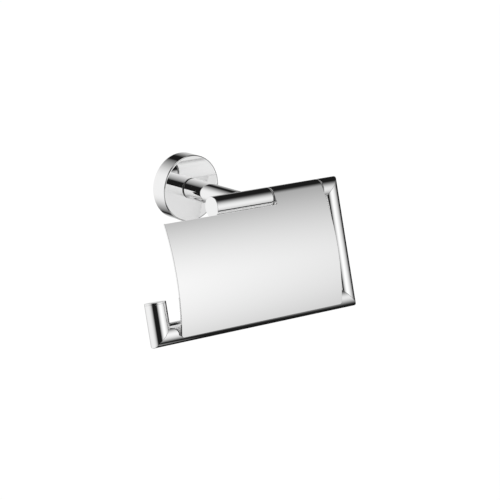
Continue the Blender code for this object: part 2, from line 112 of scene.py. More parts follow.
# Fillets, from a hidden step to a turned rim
HAIR_FILLET = 0.05 * MM
SEAM_FILLET = 0.06 * MM
FINE_FILLET = 0.1 * MM
POCKET_FILLET = 0.15 * MM
EDGE_FILLET = 0.2 * MM
RIM_FILLET = 0.25 * MM
CAP_FILLET = 0.3 * MM
BOWL_FILLET = 0.6 * MM
FACE_FILLET = 0.8 * MM

# Radius of the small flat face that closes a turned skin at its axis
AXIS_CAP = 0.5 * MM
HEAD_AXIS_CAP = 0.05 * MM
SOCKET_AXIS_CAP = 0.055 * MM
GRUB_AXIS_CAP = 0.02 * MM
HOLE_AXIS_CAP = 0.01 * MM

# Bars
TUBE_BORE = BAR_RADIUS - 1.2 * MM
SEAM = 0.06 * MM
BROKEN_EDGE = 0.12 * MM
CAP_THICKNESS = 1.0 * MM
CAP_PLUG = 4.0 * MM
SPINDLE_RADIUS = 3.0 * MM
SPINDLE_BORE = 3.3 * MM
SPINDLE_BORE_FLOOR = 4.0 * MM
SHOULDER_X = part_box("right_hinge_bush")[1].x + 0.1 * MM
SHOULDER_LENGTH = 1.0 * MM

# Rosette, gasket and wall bracket
ROSETTE_RIM = 1.5 * MM
ROSETTE_FACE = 2.5 * MM
BOLT_HOLE = 2.8 * MM
GASKET_RADIUS = BAR_RADIUS - 0.1 * MM
GASKET_GAP = 0.01 * MM
GROOVE_RADIUS = 13.6 * MM
POCKET_RADIUS = 4.9 * MM
POCKET_FLOOR = 3.0 * MM

# Wall screws
SCREW_RADIUS = 1.75 * MM
SCREW_HOLE = SCREW_RADIUS + 0.2 * MM
COUNTERSINK = SCREW_HEAD_RADIUS + 0.6 * MM
HEAD_RIM = 0.1 * MM
HEAD_FILLET = 0.03 * MM
NECK_LENGTH = 0.6 * MM
THREAD_PITCH = 1.5 * MM
THREAD_DEPTH = 0.55 * MM
THREAD_RUN_IN = 1.5 * MM
THREAD_FLANK = 0.32
RINGS_PER_PITCH = 14
TIP_LENGTH = 2.6 * MM
TIP_BLUNTNESS = 0.02
RECESS_LENGTH = 3.2 * MM
RECESS_WIDTH = 0.8 * MM
RECESS_DEPTH = 2.6 * MM

# Grub screws and their holes
GRUB_POINTS = {"rosette_grub_screw": 0.5 * MM, "hub_grub_screw": 1.6 * MM}
GRUB_HOLE = GRUB_RADIUS + 0.15 * MM
GRUB_CHAMFER = 0.3 * MM
GRUB_PITCH = 0.7 * MM
GRUB_THREAD_DEPTH = 0.25 * MM
GRUB_RINGS = 40
SOCKET_RADIUS = 1.1 * MM
SOCKET_DEPTH = 1.4 * MM
SOCKET_CHAMFER = 0.05 * MM
HUB_HOLE_DEPTH = 4.0 * MM
ROSETTE_HOLE_DEPTH = 3.0 * MM
# How far a cutter starts outside the piece it cuts
OVERSHOOT = 1.0 * MM

# Cover: a sheet curled round the spindle at its top and bent to one radius below
COVER_THICKNESS = 1.2 * MM
COVER_EDGE = 0.22 * MM
COVER_CORNER = 1.6 * MM
NOTCH_DEPTH = 6.45 * MM
NOTCH_CORNER = 1.2 * MM
BARREL_CORNER = 0.4 * MM
NOTCH_OUTER_CORNER = 0.3 * MM
BARREL_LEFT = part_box("left_hinge_bush")[0].x + 0.8 * MM
SHEET_START_ANGLE = radians(32.6)
SHEET_END_ANGLE = radians(-0.5)
CURL_SWEEP = radians(318.0)
CURL_LENGTH = CURL_SWEEP * BAR_RADIUS
SHEET_DROP = HUB_AXIS.z + BAR_RADIUS * sin(SHEET_START_ANGLE) - COVER_LOW.z
SHEET_RADIUS = SHEET_DROP / (sin(SHEET_START_ANGLE) - sin(SHEET_END_ANGLE))
SHEET_LENGTH = SHEET_RADIUS * (SHEET_START_ANGLE - SHEET_END_ANGLE)
CURL_ROWS = 120
SHEET_ROWS = 80
SHEET_ROW_SHIFT = 0.37
ROW_TOLERANCE = 1e-7
STRETCH_LIMIT = 0.5

# Hinge bushes
BUSH_FLANGE_RADIUS = BAR_RADIUS - 0.15 * MM
BUSH_BODY_RADIUS = BAR_RADIUS - COVER_THICKNESS - 0.05 * MM
BUSH_BORE = SPINDLE_RADIUS + 0.05 * MM
BUSH_FLANGE = 0.5 * MM


# ---------------------------------------------------------------- mesh building


def make_object(name, data):
    obj = bpy.data.objects.new(name, data)
    bpy.context.scene.collection.objects.link(obj)
    return obj


def finish_mesh(name, bm, normals=None):
    bmesh.ops.recalc_face_normals(bm, faces=bm.faces)
    mesh = bpy.data.meshes.new(name)
    bm.to_mesh(mesh)
    bm.free()
    mesh.shade_smooth()
    if normals:
        mesh.normals_split_custom_set_from_vertices(normals)
    return make_object(name, mesh)


def join_rows(bm, rows):
    """Bridge each closed row of vertices to the next."""
    count = len(rows[0])
    for lower, upper in zip(rows, rows[1:]):
        for i in range(count):
            j = (i + 1) % count
            bm.faces.new((lower[i], lower[j], upper[j], upper[i]))


def cap_rows(bm, rows):
    """Close the first and the last row of vertices with a face each."""
    bm.faces.new(rows[0][::-1])
    bm.faces.new(rows[-1])


def ring_stack(name, rings, closed=False, exact_normals=True):
    """Join rings of (point, normal) pairs into one skin with exact smooth normals.

    A closed stack joins its last ring to its first, an open one is capped at both ends.
    """
    bm = bmesh.new()
    rows = [[bm.verts.new(point) for point, _ in ring] for ring in rings]
    if closed:
        join_rows(bm, rows + rows[:1])
    else:
        cap_rows(bm, rows)
        join_rows(bm, rows)
    normals = [normal for ring in rings for _, normal in ring]
    return finish_mesh(name, bm, normals if exact_normals else None)


def spokes(axis, around):
    """Angle and unit vector of each point of a ring about an axis."""
    across = axis.orthogonal().normalized()
    other = axis.cross(across)
    angles = [2 * pi * i / around for i in range(around)]
    return [(angle, across * cos(angle) + other * sin(angle)) for angle in angles]


def corner_arc(corner, before, after, radius, steps=FILLET_STEPS):
    """Points and normals of a rounded corner between two unit directions of a flat outline."""
    turn = acos(max(-1.0, min(1.0, before.dot(after))))
    side = 1.0 if before.x * after.y - before.y * after.x > 0 else -1.0
    normal = Vector((before.y, -before.x))
    centre = corner - before * radius * tan(turn / 2) - normal * radius * side
    arc = []
    for step in range(steps + 1):
        angle = side * turn * step / steps
        turned = Vector((normal.x * cos(angle) - normal.y * sin(angle),
                         normal.x * sin(angle) + normal.y * cos(angle)))
        arc.append((centre + turned * radius * side, turned))
    return arc


def rounded(corners, closed=False):
    """Turn (radius, height, fillet) corners into a profile of points with their normals.

    The profile runs up its outer side, so a normal points to the right of its direction.
    """
    points = [Vector((radius, height)) for radius, height, _ in corners]
    last = len(points) - 1
    profile = []
    for i, (_, _, fillet) in enumerate(corners):
        before = (points[i] - points[i - 1]).normalized()
        after = (points[(i + 1) % len(points)] - points[i]).normalized()
        if closed or 0 < i < last:
            profile += corner_arc(points[i], before, after, fillet)
        else:
            direction = before if i else after
            profile.append((points[i], Vector((direction.y, -direction.x))))
    return profile


def lathe_rings(corners, origin, axis, closed=False, around=BAR_AROUND):
    """Rings of a profile of (radius, height, fillet) corners turned about an axis."""
    radials = [radial for _, radial in spokes(axis, around)]
    return [[(origin + axis * point.y + radial * point.x, radial * normal.x + axis * normal.y)
             for radial in radials]
            for point, normal in rounded(corners, closed)]


def lathe(name, corners, origin, axis, closed=False, around=BAR_AROUND):
    return ring_stack(name, lathe_rings(corners, origin, axis, closed, around), closed)


def shaped_ring(origin, axis, height, radius_at, around=SCREW_AROUND):
    """Ring about an axis whose radius depends on the angle and the height."""
    return [(origin + axis * height + radial * radius_at(angle, height), radial)
            for angle, radial in spokes(axis, around)]


def round_ring(origin, axis, height, radius, around=SCREW_AROUND):
    return shaped_ring(origin, axis, height, lambda angle, height: radius, around)


def cylinder(name, start, axis, radius, length):
    rings = [round_ring(start, axis, height, radius, HOLE_AROUND) for height in (0.0, length)]
    return ring_stack(name, rings, exact_normals=False)


def box(name, centre, size):
    bm = bmesh.new()
    bmesh.ops.create_cube(bm, size=1.0)
    bmesh.ops.scale(bm, vec=size, verts=bm.verts)
    bmesh.ops.translate(bm, vec=centre, verts=bm.verts)
    return finish_mesh(name, bm)


def grub_hole(name, centre, radius, depth):
    """Cutter for a grub screw's hole in the underside of a round piece."""
    below = centre - UP * (radius + OVERSHOOT)
    return cylinder(name, below, UP, GRUB_HOLE, depth + OVERSHOOT)


def cut(piece, cutters, sharp_angle=SHARP_ANGLE):
    """Cut holes in a piece, then weight its normals by area so that flat faces stay flat."""
    for cutter in cutters:
        hole = piece.modifiers.new("cut", "BOOLEAN")
        hole.operation = "DIFFERENCE"
        hole.solver = "EXACT"
        hole.object = cutter
    graph = bpy.context.evaluated_depsgraph_get()
    mesh = bpy.data.meshes.new_from_object(piece.evaluated_get(graph))
    piece.modifiers.clear()
    piece.data = mesh
    if "custom_normal" in mesh.attributes:
        mesh.attributes.remove(mesh.attributes["custom_normal"])
    mesh.shade_smooth()
    mesh.set_sharp_from_angle(angle=sharp_angle)
    piece.modifiers.new("weighted normals", "WEIGHTED_NORMAL").keep_sharp = True
    for cutter in cutters:
        bpy.data.objects.remove(cutter, do_unlink=True)
    return piece


# ---------------------------------------------------------------- bars


class PlaneEnd:
    """Flat end of a bar, square to it or along the mitre at a corner."""

    def __init__(self, corner, normal):
        self.corner = corner
        self.normal = normal

    def reach(self, foot, direction, inset):
        """Distance from a foot to the end along the bar, held back by an inset."""
        plane = self.corner - self.normal * (SEAM / 2 + inset)
        return (plane - foot).dot(self.normal) / direction.dot(self.normal)

    def face_normal(self, _point):
        return self.normal


class SaddleEnd:
    """Scooped end of the post that fits round the side of the hub."""

    def reach(self, foot, _direction, inset):
        radius = BAR_RADIUS + SEAM + inset
        height = foot.z - HUB_AXIS.z
        return (foot.y - HUB_AXIS.y) - sqrt(radius * radius - height * height)

    def face_normal(self, point):
        inward = HUB_AXIS - point
        inward.x = 0.0
        return inward.normalized()


def bar_rings(start, direction, end_shape):
    """Rings of one end of a bar: its softly broken edge, its end face and its bore."""
    radials = [radial for _, radial in spokes(direction, BAR_AROUND)]
    rings = []
    for step in range(FILLET_STEPS + 1):
        angle = pi / 2 * step / FILLET_STEPS
        ring = []
        for radial in radials:
            foot = start + radial * (BAR_RADIUS - BROKEN_EDGE * (1 - cos(angle)))
            along = end_shape.reach(foot, direction, BROKEN_EDGE * (1 - sin(angle)))
            point = foot + direction * along
            face = end_shape.face_normal(point)
            ring.append((point, (radial * cos(angle) + face * sin(angle)).normalized()))
        rings.append(ring)
    lip, bore = [], []
    for radial in radials:
        foot = start + radial * TUBE_BORE
        point = foot + direction * end_shape.reach(foot, direction, 0.0)
        lip.append((point, end_shape.face_normal(point)))
        bore.append((foot + direction * end_shape.reach(foot, direction, BROKEN_EDGE), -radial))
    return rings + [lip, bore]


def tube_bar(name, start, end, start_shape, end_shape):
    """Round tube between two shaped ends."""
    direction = (end - start).normalized()
    near = bar_rings(start, direction, start_shape)
    far = bar_rings(start, direction, end_shape)
    return ring_stack(name, near[::-1] + far, closed=True)


def mitre(corner, incoming, outgoing):
    """Ends of the two bars that meet at a corner."""
    normal = (incoming + outgoing).normalized()
    return PlaneEnd(corner, normal), PlaneEnd(corner, -normal)


def make_frame():
    """The frame's four bars, mitred where two of them meet."""
    top_end, side_start = mitre(TOP_CORNER, RIGHT, DOWN)
    side_end, roll_start = mitre(LOW_RIGHT_CORNER, DOWN, -RIGHT)
    roll_end, upstand_start = mitre(LOW_LEFT_CORNER, -RIGHT, -DOWN)
    cap_seat = UPSTAND_TOP + DOWN * CAP_THICKNESS
    return {
        "side_bar": tube_bar("side_bar_fine", TOP_CORNER, LOW_RIGHT_CORNER, side_start, side_end),
        "roll_bar": tube_bar("roll_bar_fine", LOW_RIGHT_CORNER, LOW_LEFT_CORNER, roll_start,
                             roll_end),
        "upstand": tube_bar("upstand_fine", LOW_LEFT_CORNER, cap_seat, upstand_start,
                            PlaneEnd(cap_seat, -DOWN)),
        "top_bar": make_top_bar(top_end),
    }


def make_top_bar(end_shape):
    """Spindle, shoulder and mitred end of the short bar at the frame's top corner."""
    corners = [
        (SPINDLE_RADIUS, SPINDLE_START, 0.0), (SPINDLE_RADIUS, SHOULDER_X, HAIR_FILLET),
        (BAR_RADIUS, SHOULDER_X, BROKEN_EDGE), (BAR_RADIUS, SHOULDER_X + SHOULDER_LENGTH, 0.0),
    ]
    solid_end = bar_rings(HUB_AXIS, RIGHT, end_shape)[:-1]
    return ring_stack("top_bar_fine", lathe_rings(corners, HUB_AXIS, RIGHT) + solid_end)


def make_upstand_cap():
    plug = TUBE_BORE - SEAM
    plug_end = -CAP_THICKNESS - CAP_PLUG
    corners = [
        (AXIS_CAP, plug_end, 0.0), (plug, plug_end, CAP_FILLET),
        (plug, -CAP_THICKNESS, HAIR_FILLET), (BAR_RADIUS, -CAP_THICKNESS, SEAM_FILLET),
        (BAR_RADIUS, 0.0, CAP_FILLET), (AXIS_CAP, 0.0, 0.0),
    ]
    return lathe("upstand_cap_fine", corners, UPSTAND_TOP, -DOWN)


def make_post():
    foot = OUT * GASKET_FRONT
    return tube_bar("post_fine", foot, HUB_AXIS, PlaneEnd(foot, -OUT), SaddleEnd())


def make_hub():
    """Cross bar on the post with the spindle's bore in its right end."""
    corners = [
        (AXIS_CAP, HUB_LOW.x, 0.0), (BAR_RADIUS, HUB_LOW.x, RIM_FILLET),
        (BAR_RADIUS, HUB_HIGH.x, EDGE_FILLET), (SPINDLE_BORE, HUB_HIGH.x, FINE_FILLET),
        (SPINDLE_BORE, SPINDLE_BORE_FLOOR, FINE_FILLET), (AXIS_CAP, SPINDLE_BORE_FLOOR, 0.0),
    ]
    hub = lathe("hub_fine", corners, HUB_AXIS, RIGHT)
    centre = HUB_AXIS + RIGHT * middle("hub_grub_screw").x
    return cut(hub, [grub_hole("hub grub hole", centre, BAR_RADIUS, HUB_HOLE_DEPTH)])


# ---------------------------------------------------------------- wall end


def make_rosette():
    """Hollow wall flange with a hole for the bolt and one for the grub screw."""
    inner = ROSETTE_RADIUS - ROSETTE_RIM
    face_back = ROSETTE_DEPTH - ROSETTE_FACE
    corners = [
        (ROSETTE_RADIUS, 0.0, EDGE_FILLET), (ROSETTE_RADIUS, ROSETTE_DEPTH, FACE_FILLET),
        (BOLT_HOLE, ROSETTE_DEPTH, FINE_FILLET), (BOLT_HOLE, face_back, FINE_FILLET),
        (inner, face_back, BOWL_FILLET), (inner, 0.0, EDGE_FILLET),
    ]
    rosette = lathe("rosette_fine", corners, Vector(), OUT, closed=True, around=ROSETTE_AROUND)
    return cut(rosette, [grub_hole("rosette grub hole", OUT * GRUB_DEPTH, ROSETTE_RADIUS,
                                   ROSETTE_HOLE_DEPTH)])


def make_gasket():
    back, front = ROSETTE_DEPTH + GASKET_GAP, GASKET_FRONT - GASKET_GAP
    corners = [
        (GASKET_RADIUS, back, FINE_FILLET), (GASKET_RADIUS, front, FINE_FILLET),
        (BOLT_HOLE, front, HAIR_FILLET), (BOLT_HOLE, back, HAIR_FILLET),
    ]
    return lathe("post_gasket_fine", corners, Vector(), OUT, closed=True)


def make_wall_bracket():
    """Turned disc with a V groove round its rim and two countersunk holes."""
    lip = BRACKET_RADIUS - GROOVE_RADIUS
    corners = [
        (AXIS_CAP, 0.0, 0.0), (BRACKET_RADIUS, 0.0, RIM_FILLET),
        (BRACKET_RADIUS, GRUB_DEPTH - lip, FINE_FILLET), (GROOVE_RADIUS, GRUB_DEPTH, EDGE_FILLET),
        (BRACKET_RADIUS, GRUB_DEPTH + lip, FINE_FILLET),
        (BRACKET_RADIUS, BRACKET_DEPTH, RIM_FILLET), (POCKET_RADIUS, BRACKET_DEPTH, POCKET_FILLET),
        (POCKET_RADIUS, POCKET_FLOOR, POCKET_FILLET), (AXIS_CAP, POCKET_FLOOR, 0.0),
    ]
    bracket = lathe("wall_bracket_fine", corners, Vector(), OUT)
    cone_start = BRACKET_DEPTH - COUNTERSINK + SCREW_HOLE
    beyond = BRACKET_DEPTH + OVERSHOOT
    hole = [
        (HOLE_AXIS_CAP, -OVERSHOOT, 0.0), (SCREW_HOLE, -OVERSHOOT, 0.0),
        (SCREW_HOLE, cone_start, 0.0), (COUNTERSINK, BRACKET_DEPTH, 0.0),
        (COUNTERSINK, beyond, 0.0), (HOLE_AXIS_CAP, beyond, 0.0),
    ]
    return cut(bracket, [lathe(node + " hole", hole, UP * middle(node).z, OUT, around=HOLE_AROUND)
                         for node in ("wall_screw_upper", "wall_screw_lower")])


def make_wall_screw(node):
    """Countersunk wood screw: smooth neck, rolled thread behind the wall and a sharp point."""
    low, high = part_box(node)
    place = UP * middle(node).z
    head_top, tip = -low.y, -high.y
    neck = head_top - (SCREW_HEAD_RADIUS - SCREW_RADIUS)
    thread_start = neck - NECK_LENGTH

    def thread(angle, height):
        taper = min(1.0, (height - tip) / TIP_LENGTH + TIP_BLUNTNESS)
        grow = min(1.0, (thread_start - height) / THREAD_RUN_IN)
        phase = (height / THREAD_PITCH + angle / (2 * pi)) % 1.0
        crest = max(0.0, 1.0 - abs(phase - 0.5) / THREAD_FLANK)
        return (SCREW_RADIUS - THREAD_DEPTH * (1 - crest * grow)) * taper

    head = rounded([
        (HEAD_AXIS_CAP, head_top, 0.0), (SCREW_HEAD_RADIUS, head_top, HAIR_FILLET),
        (SCREW_HEAD_RADIUS, head_top - HEAD_RIM, HEAD_FILLET),
        (SCREW_RADIUS - THREAD_DEPTH, neck - HEAD_RIM, 0.0),
    ])
    rings = [round_ring(place, OUT, point.y, point.x) for point, _ in head]
    steps = int((thread_start - tip) / THREAD_PITCH * RINGS_PER_PITCH)
    for i in range(steps + 1):
        height = thread_start + (tip - thread_start) * i / steps
        rings.append(shaped_ring(place, OUT, height, thread))
    screw = ring_stack(node + "_fine", rings, exact_normals=False)
    centre = place + OUT * head_top
    recess = [box(node + " recess wide", centre, (RECESS_LENGTH, RECESS_DEPTH, RECESS_WIDTH)),
              box(node + " recess tall", centre, (RECESS_WIDTH, RECESS_DEPTH, RECESS_LENGTH))]
    return cut(screw, recess, SCREW_SHARP_ANGLE)


def make_grub_screw(node):
    """Set screw with a hexagon socket in its lower end, threaded along its side."""
    mouth = Vector((middle(node).x, middle(node).y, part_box(node)[0].z))
    length = extent(node).z
    point_radius = GRUB_POINTS[node]
    thread_end = length - (GRUB_RADIUS - point_radius)

    def hexagon(radius):
        return lambda angle, _height: radius * cos(pi / 6) / cos((angle % (pi / 3)) - pi / 6)

    def thread(angle, height):
        phase = (height / GRUB_PITCH - angle / (2 * pi)) % 1.0
        return GRUB_RADIUS - GRUB_THREAD_DEPTH * abs(2 * phase - 1)

    rings = [
        shaped_ring(mouth, UP, SOCKET_DEPTH, hexagon(SOCKET_AXIS_CAP)),
        shaped_ring(mouth, UP, SOCKET_DEPTH, hexagon(SOCKET_RADIUS)),
        shaped_ring(mouth, UP, SOCKET_CHAMFER, hexagon(SOCKET_RADIUS)),
        shaped_ring(mouth, UP, 0.0, hexagon(SOCKET_RADIUS + SOCKET_CHAMFER)),
        round_ring(mouth, UP, 0.0, GRUB_RADIUS - GRUB_CHAMFER),
    ]
    for i in range(GRUB_RINGS + 1):
        height = GRUB_CHAMFER + (thread_end - GRUB_CHAMFER) * i / GRUB_RINGS
        rings.append(shaped_ring(mouth, UP, height, thread))
    rings.append(round_ring(mouth, UP, length, point_radius))
    rings.append(round_ring(mouth, UP, length, GRUB_AXIS_CAP))
    piece = ring_stack(node + "_fine", rings, exact_normals=False)
    piece.data.set_sharp_from_angle(angle=GRUB_SHARP_ANGLE)
    return piece


# ---------------------------------------------------------------- cover


def rolled(distance):
    """Point and outward normal of the cover's outer face, in the plane across the hinge.

    distance runs along the outer face from the free end of the curl to the lower edge.
    """
    def outward(angle):
        return Vector((0.0, -cos(angle), sin(angle)))

    if distance < CURL_LENGTH:
        normal = outward(SHEET_START_ANGLE + CURL_SWEEP - distance / BAR_RADIUS)
        return HUB_AXIS + normal * BAR_RADIUS, normal
    centre = HUB_AXIS + outward(SHEET_START_ANGLE) * (BAR_RADIUS - SHEET_RADIUS)
    normal = outward(SHEET_START_ANGLE - (distance - CURL_LENGTH) / SHEET_RADIUS)
    return centre + normal * SHEET_RADIUS, normal


def cover_outline():
    """Outline of the flat sheet before it is rolled, run anticlockwise in (x, distance)."""
    left, right = COVER_LOW.x, COVER_HIGH.x
    notch = CURL_LENGTH + NOTCH_DEPTH
    low = CURL_LENGTH + SHEET_LENGTH
    east, west = Vector((1.0, 0.0)), Vector((-1.0, 0.0))
    north, south = Vector((0.0, 1.0)), Vector((0.0, -1.0))
    corners = [
        ((BARREL_LEFT, 0.0), south, east, BARREL_CORNER, SMALL_CORNER_STEPS),
        ((right, 0.0), east, north, BARREL_CORNER, SMALL_CORNER_STEPS),
        ((right, low), north, west, COVER_CORNER, CORNER_STEPS),
        ((left, low), west, south, COVER_CORNER, CORNER_STEPS),
        ((left, notch), south, east, NOTCH_OUTER_CORNER, SMALL_CORNER_STEPS),
        ((BARREL_LEFT, notch), east, south, NOTCH_CORNER, CORNER_STEPS),
    ]
    return [point for corner, before, after, radius, steps in corners
            for point, _ in corner_arc(Vector(corner), before, after, radius, steps)]


def outline_normals(outline):
    """Outward normal at each point, lengthened so that an inset keeps its width at a corner."""
    normals = []
    for i, point in enumerate(outline):
        before = (point - outline[i - 1]).normalized()
        after = (outline[(i + 1) % len(outline)] - point).normalized()
        along = (before + after).normalized()
        stretch = 1 / max(STRETCH_LIMIT, along.dot(before))
        normals.append((Vector((along.y, -along.x)), stretch))
    return normals


def flat_cover():
    """The flat sheet with rounded edges, and the layer that holds its normals."""
    outline = cover_outline()
    normals = outline_normals(outline)
    bm = bmesh.new()
    layer = bm.verts.layers.float_vector.new("flat_normal")
    levels = [(-1, i) for i in reversed(range(FILLET_STEPS + 1))]
    levels += [(1, i) for i in range(FILLET_STEPS + 1)]
    rows = []
    for side, i in levels:
        angle = pi / 2 * i / FILLET_STEPS
        inset = COVER_EDGE * (1 - cos(angle))
        depth = side * (COVER_THICKNESS / 2 - COVER_EDGE * (1 - sin(angle)))
        row = []
        for point, (normal, stretch) in zip(outline, normals):
            moved = point - normal * inset * stretch
            vert = bm.verts.new((moved.x, moved.y, depth))
            vert[layer] = (normal.x * cos(angle), normal.y * cos(angle), side * sin(angle))
            row.append(vert)
        rows.append(row)
    cap_rows(bm, rows)
    join_rows(bm, rows)
    return bm, layer


def make_cover():
    """Cut the flat sheet into narrow rows, then roll its top and bend the rest."""
    bm, layer = flat_cover()
    cuts = [CURL_LENGTH * i / CURL_ROWS for i in range(1, CURL_ROWS)]
    cuts += [CURL_LENGTH + SHEET_LENGTH * (i + SHEET_ROW_SHIFT) / SHEET_ROWS
             for i in range(SHEET_ROWS)]
    for distance in cuts:
        geometry = bm.verts[:] + bm.edges[:] + bm.faces[:]
        bmesh.ops.bisect_plane(bm, geom=geometry, dist=ROW_TOLERANCE,
                               plane_co=(0.0, distance, 0.0), plane_no=(0.0, 1.0, 0.0))
    normals = []
    for vert in bm.verts:
        across, distance, depth = vert.co
        flat = Vector(vert[layer]).normalized()
        place, outward = rolled(distance)
        along = outward.cross(RIGHT)
        vert.co = place + RIGHT * across + outward * (depth - COVER_THICKNESS / 2)
        normals.append(RIGHT * flat.x + along * flat.y + outward * flat.z)
    return finish_mesh("cover_fine", bm, normals)


def make_bush(node, flange_on_left):
    """Flanged nylon bush between the barrel and its neighbour."""
    low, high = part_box(node)
    length = high.x - low.x
    corners = [
        (BUSH_FLANGE_RADIUS, -BUSH_FLANGE, SEAM_FILLET), (BUSH_FLANGE_RADIUS, 0.0, SEAM_FILLET),
        (BUSH_BORE, 0.0, SEAM_FILLET), (BUSH_BORE, -length, SEAM_FILLET),
        (BUSH_BODY_RADIUS, -length, SEAM_FILLET), (BUSH_BODY_RADIUS, -BUSH_FLANGE, SEAM_FILLET),
    ]
    face, axis = (low.x, -RIGHT) if flange_on_left else (high.x, RIGHT)
    return lathe(node + "_fine", corners, HUB_AXIS + RIGHT * face, axis, closed=True)


# ---------------------------------------------------------------- finishes

CHROME_COLOUR = (0.93, 0.93, 0.93)
COVER_COLOUR = (0.94, 0.94, 0.94)
ZINC_COLOUR = (0.62, 0.62, 0.60)
ZINC_DARK, ZINC_LIGHT = (0.55, 0.56, 0.57), (0.66, 0.66, 0.65)
RUBBER_COLOUR = (0.018, 0.018, 0.018)
NYLON_COLOUR = (0.22, 0.22, 0.22)
NYLON_DARK, NYLON_LIGHT = (0.20, 0.20, 0.20), (0.24, 0.24, 0.24)
FLOOR_COLOUR = (0.97, 0.97, 0.97)
# The range that most of a noise texture lies in
NOISE_LOW, NOISE_HIGH = 0.3, 0.7


class Finish:
    """Procedural material whose nodes read the piece's own coordinates in metres."""

    def __init__(self, name, colour, metallic):
        self.material = bpy.data.materials.new(name)
        self.material.use_nodes = True
        self.nodes = self.material.node_tree.nodes
        self.links = self.material.node_tree.links
        self.inputs = self.nodes["Principled BSDF"].inputs
        self.inputs["Base Color"].default_value = (*colour, 1.0)
        self.inputs["Metallic"].default_value = metallic
        self.coordinates = self.nodes.new("ShaderNodeTexCoord").outputs

    def noise(self, scale, detail):
        texture = self.nodes.new("ShaderNodeTexNoise")
        texture.inputs["Scale"].default_value = scale
        texture.inputs["Detail"].default_value = detail
        self.links.new(self.coordinates["Object"], texture.inputs["Vector"])
        return texture.outputs["Fac"]

    def turning_marks(self, scale):
        wave = self.nodes.new("ShaderNodeTexWave")
        wave.wave_type = "RINGS"
        wave.rings_direction = "Y"
        wave.inputs["Scale"].default_value = scale
        wave.inputs["Distortion"].default_value = 0.6
        wave.inputs["Detail"].default_value = 3.0
        self.links.new(self.coordinates["Object"], wave.inputs["Vector"])
        return wave.outputs["Fac"]

    def ramp(self, source, start, end, at_start, at_end):
        node = self.nodes.new("ShaderNodeMapRange")
        node.inputs["From Min"].default_value = start
        node.inputs["From Max"].default_value = end
        node.inputs["To Min"].default_value = at_start
        node.inputs["To Max"].default_value = at_end
        self.links.new(source, node.inputs["Value"])
        return node.outputs["Result"]

    def roughness(self, source, low, high):
        self.links.new(self.ramp(source, NOISE_LOW, NOISE_HIGH, low, high),
                       self.inputs["Roughness"])

    def tint(self, source, dark, light):
        ramp = self.nodes.new("ShaderNodeValToRGB")
        stops = zip(ramp.color_ramp.elements, (NOISE_LOW, NOISE_HIGH), (dark, light))
        for stop, position, colour in stops:
            stop.position = position
            stop.color = (*colour, 1.0)
        self.links.new(source, ramp.inputs["Fac"])
        self.links.new(ramp.outputs["Color"], self.inputs["Base Color"])

    def relief(self, source, depth, strength):
        """Bump that adds to any that came before."""
        bump = self.nodes.new("ShaderNodeBump")
        bump.inputs["Distance"].default_value = depth
        bump.inputs["Strength"].default_value = strength
        self.links.new(source, bump.inputs["Height"])
        if self.inputs["Normal"].is_linked:
            earlier = self.inputs["Normal"].links[0].from_socket
            self.links.new(earlier, bump.inputs["Normal"])
        self.links.new(bump.outputs["Normal"], self.inputs["Normal"])

    def polish_marks(self):
        """The faint waviness of polished metal and a trace of polishing grain."""
        self.relief(self.noise(scale=55.0, detail=1.0), depth=0.004 * MM, strength=0.5)
        self.relief(self.noise(scale=5200.0, detail=2.0), depth=0.0004 * MM, strength=0.15)


def chrome_finish():
    """Mirror plating with a fine haze."""
    finish = Finish("chrome", CHROME_COLOUR, metallic=1.0)
    finish.roughness(finish.noise(scale=90.0, detail=5.0), low=0.012, high=0.04)
    finish.polish_marks()
    return finish.material


def cover_finish():
    """Mirror plating in view that turns satin on the side that meets the wall."""
    finish = Finish("chrome_satin_back", COVER_COLOUR, metallic=1.0)
    split = finish.nodes.new("ShaderNodeSeparateXYZ")
    finish.links.new(finish.coordinates["Normal"], split.inputs["Vector"])
    wallward = split.outputs["Y"]
    finish.links.new(finish.ramp(wallward, start=0.15, end=0.7, at_start=1.0, at_end=0.05),
                     finish.inputs["Metallic"])
    haze = finish.ramp(wallward, start=0.1, end=0.55, at_start=0.012, at_end=0.43)
    grain = finish.ramp(finish.noise(scale=100.0, detail=5.0), NOISE_LOW, NOISE_HIGH,
                        at_start=0.0, at_end=0.03)
    total = finish.nodes.new("ShaderNodeMath")
    finish.links.new(haze, total.inputs[0])
    finish.links.new(grain, total.inputs[1])
    finish.links.new(total.outputs[0], finish.inputs["Roughness"])
    finish.polish_marks()
    return finish.material


def steel_finish():
    """Bright zinc on turned steel."""
    finish = Finish("steel", ZINC_COLOUR, metallic=0.6)
    finish.tint(finish.noise(scale=260.0, detail=4.0), ZINC_DARK, ZINC_LIGHT)
    finish.roughness(finish.noise(scale=420.0, detail=4.0), low=0.22, high=0.38)
    finish.relief(finish.turning_marks(scale=400.0), depth=0.006 * MM, strength=0.3)
    finish.relief(finish.noise(scale=3500.0, detail=2.0), depth=0.002 * MM, strength=0.25)
    return finish.material


def rubber_finish():
    finish = Finish("rubber", RUBBER_COLOUR, metallic=0.0)
    finish.roughness(finish.noise(scale=900.0, detail=4.0), low=0.55, high=0.75)
    finish.relief(finish.noise(scale=5000.0, detail=3.0), depth=0.02 * MM, strength=0.4)
    return finish.material


def nylon_finish():
    finish = Finish("nylon", NYLON_COLOUR, metallic=0.0)
    finish.tint(finish.noise(scale=300.0, detail=3.0), NYLON_DARK, NYLON_LIGHT)
    finish.roughness(finish.noise(scale=700.0, detail=4.0), low=0.36, high=0.48)
    finish.relief(finish.noise(scale=2500.0, detail=3.0), depth=0.01 * MM, strength=0.3)
    return finish.material


FINISHES = {"chrome": chrome_finish(), "steel": steel_finish(), "rubber": rubber_finish(),
            "nylon": nylon_finish()}


# ---------------------------------------------------------------- assembly


def paint(piece, material):
    piece.data.materials.clear()
    piece.data.materials.append(material)


